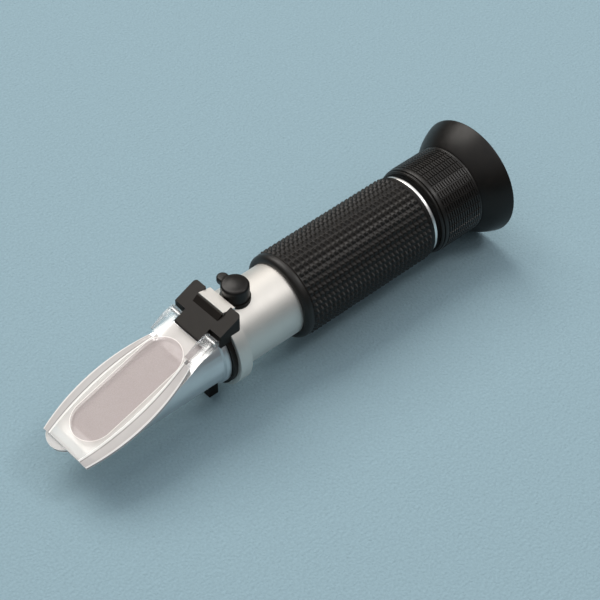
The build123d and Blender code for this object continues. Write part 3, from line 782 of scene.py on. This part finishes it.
sleeve_base = turned(
    "focus_sleeve_base",
    [
        (sleeve_front, sleeve_bore), (sleeve_front, sleeve_radius - 0.9),
        (sleeve_front + 0.35, front_ring), (sleeve_front + 0.8, front_ring),
        (sleeve_front + 0.9, front_dip), (sleeve_front + 1.15, front_dip),
        (sleeve_front + 1.25, sleeve_radius - 0.2), (ribs_start - 0.25, sleeve_radius - 0.1),
    ]
    + trough_outline(ribs_start, ribs_end, rib_groove_radius, rib_trough)
    + [
        (ribs_end + 0.2, sleeve_radius - 0.15), (sleeve_back, sleeve_radius - 0.1),
        (sleeve_back, sleeve_bore),
    ],
    sleeve_rubber, "eyepiece", soft=0.1,
)
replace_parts(sleeve_base, "focus_sleeve")
grow(
    "focus_ribs", tooth_band,
    {
        "Start": ribs_start, "Pitch": rib_pitch, "Rows": rib_rows, "Teeth Round": ribs_round,
        "Groove Radius": rib_groove_radius, "Tooth Height": rib_height, "Groove Along": 0.16,
        "Flank Along": 0.16, "Groove Round": 0.08, "Flank Round": 0.07, "First Tooth": 0.5,
        "Axis Height": axis_height, "Material": sleeve_rubber,
    },
    sleeve_rubber, "eyepiece", sharp=20.0,
)
print("focus sleeve:", rib_rows * ribs_round, "ribs")

# %% [markdown]
# ## The eyecup and the barrel
# The eyecup is one thin turned bell. Outside it flares from the sleeve to the rim in a slightly
# full curve, and inside it is a bowl that keeps light away from the eye. Behind it sits the
# barrel's collar, with the retaining ring and the eye lens in its bore.

# %% Eyecup, barrel collar and eye lens
rim_radius = radius_mm("eyecup")
flare_front = sleeve_back
cup_front = low_mm("eyecup").x
cup_bore = 10.4
plug_radius = 12.0

flare_middle = (flare_front + rim_back) / 2
flare_steps = 16

outside = arc_between(
    (flare_front, sleeve_radius), (flare_middle, rim_radius - 1.75),
    (rim_back - 0.3, rim_radius), flare_steps
)
inside = arc_between(
    (rim_back, rim_radius - 0.9), (flare_middle, rim_radius - 4.0),
    (flare_front + 0.9, cup_bore), flare_steps
)
eyecup = turned(
    "eyecup_bell",
    [(flare_front, plug_radius)] + outside + [(rim_back, rim_radius - 0.3)] + inside
    + [(cup_front, cup_bore), (cup_front, plug_radius)],
    eyecup_rubber, "eyepiece", soft=0.14,
)
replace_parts(eyecup, "eyecup")

lens_front = low_mm("eye_lens").x
lens_back = high_mm("eye_lens").x
lens_radius = radius_mm("eye_lens")


def spherical_fall(radius, depth, share):
    """How far a spherical face has fallen at a share of its radius."""
    sphere = (radius**2 + depth**2) / (2 * depth)
    return sphere - sqrt(sphere**2 - (radius * share) ** 2)


def lens_outline(front, back, radius, bulge_front, bulge_back):
    """Outline of a lens from axis to axis."""
    shares = [step / 12 for step in range(13)]
    front_face = [(front + spherical_fall(radius, bulge_front, s), radius * s) for s in shares]
    back_face = [(back - spherical_fall(radius, bulge_back, s), radius * s) for s in shares]
    return front_face + back_face[::-1]


eye_lens = turned(
    "eye_lens_turned", lens_outline(lens_front, lens_back, lens_radius, 1.5, 0.8),
    lens_glass, "lens_carriage", soft=0.0, closed=False,
)
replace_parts(eye_lens, "eye_lens")
print("eyecup", round(2 * rim_radius, 2), "mm across")

# %% [markdown]
# ## Cast and moulded pieces
# The nose, the hinge mount, the cap and the plate have shapes that the CAD already gives well.
# A copy of such a node is merged, its flat faces are joined again, and a small bevel rounds
# its edges, because no moulded edge is perfectly sharp.

# %% Softened copies of CAD nodes
merge_distance = 2e-6
flat_bend = radians(0.5)


def softened_copy(node, name, material, body, bevel=0.2, edge=None, bend=30):
    """A merged copy of a CAD node with small rounded edges, in their own material if given."""
    mesh = bpy.data.meshes.new(name)
    tidy = bmesh.new()
    tidy.from_mesh(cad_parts[node].data)
    bmesh.ops.remove_doubles(tidy, verts=tidy.verts, dist=merge_distance)
    bmesh.ops.dissolve_limit(tidy, angle_limit=flat_bend, verts=tidy.verts, edges=tidy.edges)
    tidy.to_mesh(mesh)
    tidy.free()
    mesh.shade_smooth()
    mesh.set_sharp_from_angle(angle=radians(bend))
    mesh.materials.append(material)
    mesh.materials.append(edge or material)
    made = bpy.data.objects.new(name, mesh)
    bpy.context.scene.collection.objects.link(made)
    if bevel:
        rounding = made.modifiers.new("rounding", "BEVEL")
        rounding.width = bevel * MM
        rounding.segments = 2
        rounding.limit_method = "ANGLE"
        rounding.angle_limit = radians(bend)
        rounding.harden_normals = True
        rounding.material = 1 if edge else -1
        evaluated = made.evaluated_get(bpy.context.evaluated_depsgraph_get())
        rounded = bpy.data.meshes.new_from_object(evaluated)
        made.modifiers.clear()
        made.data = rounded
    dress(made, [material, edge] if edge else [material], body, 60.0)
    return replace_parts(made, node)


softened = [
    ("prism_housing", "prism_housing_cast", cast_silver, "body", "cast_silver", 0.25),
    ("hinge_mount", "hinge_mount_moulded", hinge_plastic, "body", "hinge_plastic", 0.4),
    ("screw_cap", "screw_cap_moulded", cap_rubber, "adjuster_cap", "cap_rubber", 0.0),
    ("screw_seat", "screw_seat_moulded", hinge_plastic, "body", "hinge_plastic", 0.1),
    ("spring_clip", "spring_clip_bent", clip_steel, "body", "clip_steel", 0.12),
    ("clamp_screw", "clamp_screw_turned", steel, "body", "steel", 0.12),
    ("clamp_nut", "clamp_nut_cut", steel, "body", "steel", 0.12),
    ("hinge_pin", "hinge_pin_turned", steel, "body", "steel", 0.1),
    ("main_prism", "main_prism_polished", prism_glass, "body", "prism_glass", 0.15),
]
for node, name, material, body, slot_name, bevel in softened:
    softened_copy(node, name, material, body, bevel)
print(len(softened), "moulded and cut pieces ready")

# %% [markdown]
# ## The daylight plate
# The plate is the feature that everybody notices: a clear lid with bevelled sides, a frosted
# pad that presses the sample on the prism, two ears on the hinge pin and a small finger tab.
# Its faces are sorted by where they lie and which way they look: the ears stay clear, the pad's
# face below the plate is frosted and its wall darker, and the sloping sides get the painted light
# and dark bevel lines.

# %% Daylight plate
plate = softened_copy(
    "daylight_plate", "daylight_plate_clear", milky_acrylic_painted_light, "cover",
    bevel=0.28, edge=acrylic_edge_highlight, bend=11,
)
for extra in (frosted_acrylic, clear_acrylic, acrylic_side, pad_wall):
    plate.data.materials.append(extra)
panel, pad_face, ear, sloping_side, wall = 0, 2, 3, 4, 5
ears_end, ears_aside = 9.0, 5.5
zone_start, zone_end, zone_side, zone_top = 6.3, 48.0, 7.6, -1.28
mostly_upright, fully_upright = 0.5, 0.99
frosted = 0
for face in plate.data.polygons:
    spot = face.center - hinge_place
    along, lift, side = spot.dot(down_slope) / MM, spot.dot(off_face) / MM, abs(spot.y) / MM
    upright = abs(face.normal.dot(off_face))
    if along < ears_end and side > ears_aside:
        face.material_index = ear
    elif zone_start < along < zone_end and lift < zone_top and side < zone_side:
        face.material_index = pad_face if upright > mostly_upright else wall
        frosted += 1
    elif upright < fully_upright and face.material_index == panel:
        face.material_index = sloping_side
print("daylight plate:", frosted, "faces on the pad")

# %% [markdown]
# ## Inner parts
# The parts inside the tube keep their CAD meshes. They get the finishes that such parts have:
# blackened metal against stray light, brass rings and screws, and glass.

# %% Finishes for carried-over nodes
kept = {
    "prism_seal": cement, "light_baffle": black_metal, "calibration_screw": brass,
    "objective_mount": black_metal, "objective_cell": black_metal, "objective_lens": lens_glass,
    "temperature_strip": two_metal, "strip_screws": steel, "reticle_carrier": black_metal,
    "reticle": lens_glass, "reticle_ring": brass, "focus_barrel": black_metal,
    "cell_retainer": black_metal, "eyepiece_cell": black_metal, "field_lens": lens_glass,
    "lens_spacer": black_metal, "lens_retainer": black_metal,
}
for node, material in kept.items():
    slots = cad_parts[node].data.materials
    slots.clear()
    slots.append(material)
print(len(kept), "CAD nodes keep their mesh")

# %% [markdown]
# ## Table, light and camera
# The table is a plain pale blue cloth. A large soft lamp behind and above the instrument gives
# the long highlights and the shadow in front of it, a second one from the right gives the
# small bright patch on the ribs, and the sky fills the rest: nearly dark at the horizon and
# bright overhead. The camera looks down at about 46 degrees through a long lens.

# %% Table
table_size = 8.0
table_mesh = bpy.data.meshes.new("table")
half = table_size / 2
table_mesh.from_pydata(
    [(-half, -half, 0), (half, -half, 0), (half, half, 0), (-half, half, 0)], [], [(0, 1, 2, 3)]
)
table = bpy.data.objects.new("table", table_mesh)
bpy.context.scene.collection.objects.link(table)
cloth_blue = (0.268, 0.388, 0.445, 1.0)
table_mesh.materials.append(finish(
    "pale_cloth",
    lambda w: blend(w, grain(w, 0.8, 5.0), shade(cloth_blue, 0.84), shade(cloth_blue, 1.16)),
    0.95,
    lambda w: grain(w, 0.9, 6.0),
    relief_height=0.45,
))
print("table", table_size, "m wide")

# %% Lamps and sky


def softbox(name, direction, distance, size, power, tint):
    """A square area lamp that looks at the instrument."""
    lamp = bpy.data.lights.new(name, "AREA")
    lamp.size = size
    lamp.energy = power
    lamp.color = tint
    holder = bpy.data.objects.new(name, lamp)
    towards = Vector(direction).normalized()
    holder.location = towards * distance
    holder.rotation_euler = towards.to_track_quat("Z", "Y").to_euler()
    bpy.context.scene.collection.objects.link(holder)


softbox(
    "key", direction=(0.05, 0.60, 0.80), distance=2.4, size=1.7, power=42.0,
    tint=(1.0, 0.965, 0.91),
)
softbox(
    "side", direction=(0.46, -0.37, 0.81), distance=1.3, size=0.25, power=2.5,
    tint=(1.0, 0.98, 0.96),
)
sky = bpy.data.worlds.new("sky")
sky.use_nodes = True
sky_wire = Wire(sky.node_tree)
look_up = sky_wire.node("ShaderNodeTexCoord")
height = sky_wire.node("ShaderNodeSeparateXYZ", None, {0: look_up}, output=2)
dome = sky_wire.node("ShaderNodeValToRGB", {"stops": [
    (0.0, (0.02, 0.022, 0.024, 1.0)), (0.3, (0.05, 0.052, 0.055, 1.0)),
    (1.0, (1.00, 1.02, 1.05, 1.0)),
]}, {"Fac": height})
sky.node_tree.links.new(dome.socket, sky.node_tree.nodes["Background"].inputs["Color"])
sky.node_tree.nodes["Background"].inputs["Strength"].default_value = 1.0
bpy.context.scene.world = sky
bpy.context.scene.view_settings.view_transform = "Standard"

# %% Camera
before_rim, aside, above_table = 348.17, 305.24, 436.27
camera_place = Vector((rim_back - before_rim, -aside, above_table)) * MM
camera_pitch = radians(45.89)
camera_yaw = radians(41.95)
camera = bpy.data.objects.new("camera", bpy.data.cameras.new("camera"))
camera.data.sensor_width = 36.0
camera.data.lens = 114.59
camera.location = camera_place
camera.rotation_euler = (pi / 2 - camera_pitch, 0.0, -camera_yaw)
bpy.context.scene.collection.objects.link(camera)
bpy.context.scene.camera = camera
print("camera", [round(v, 3) for v in camera_place])
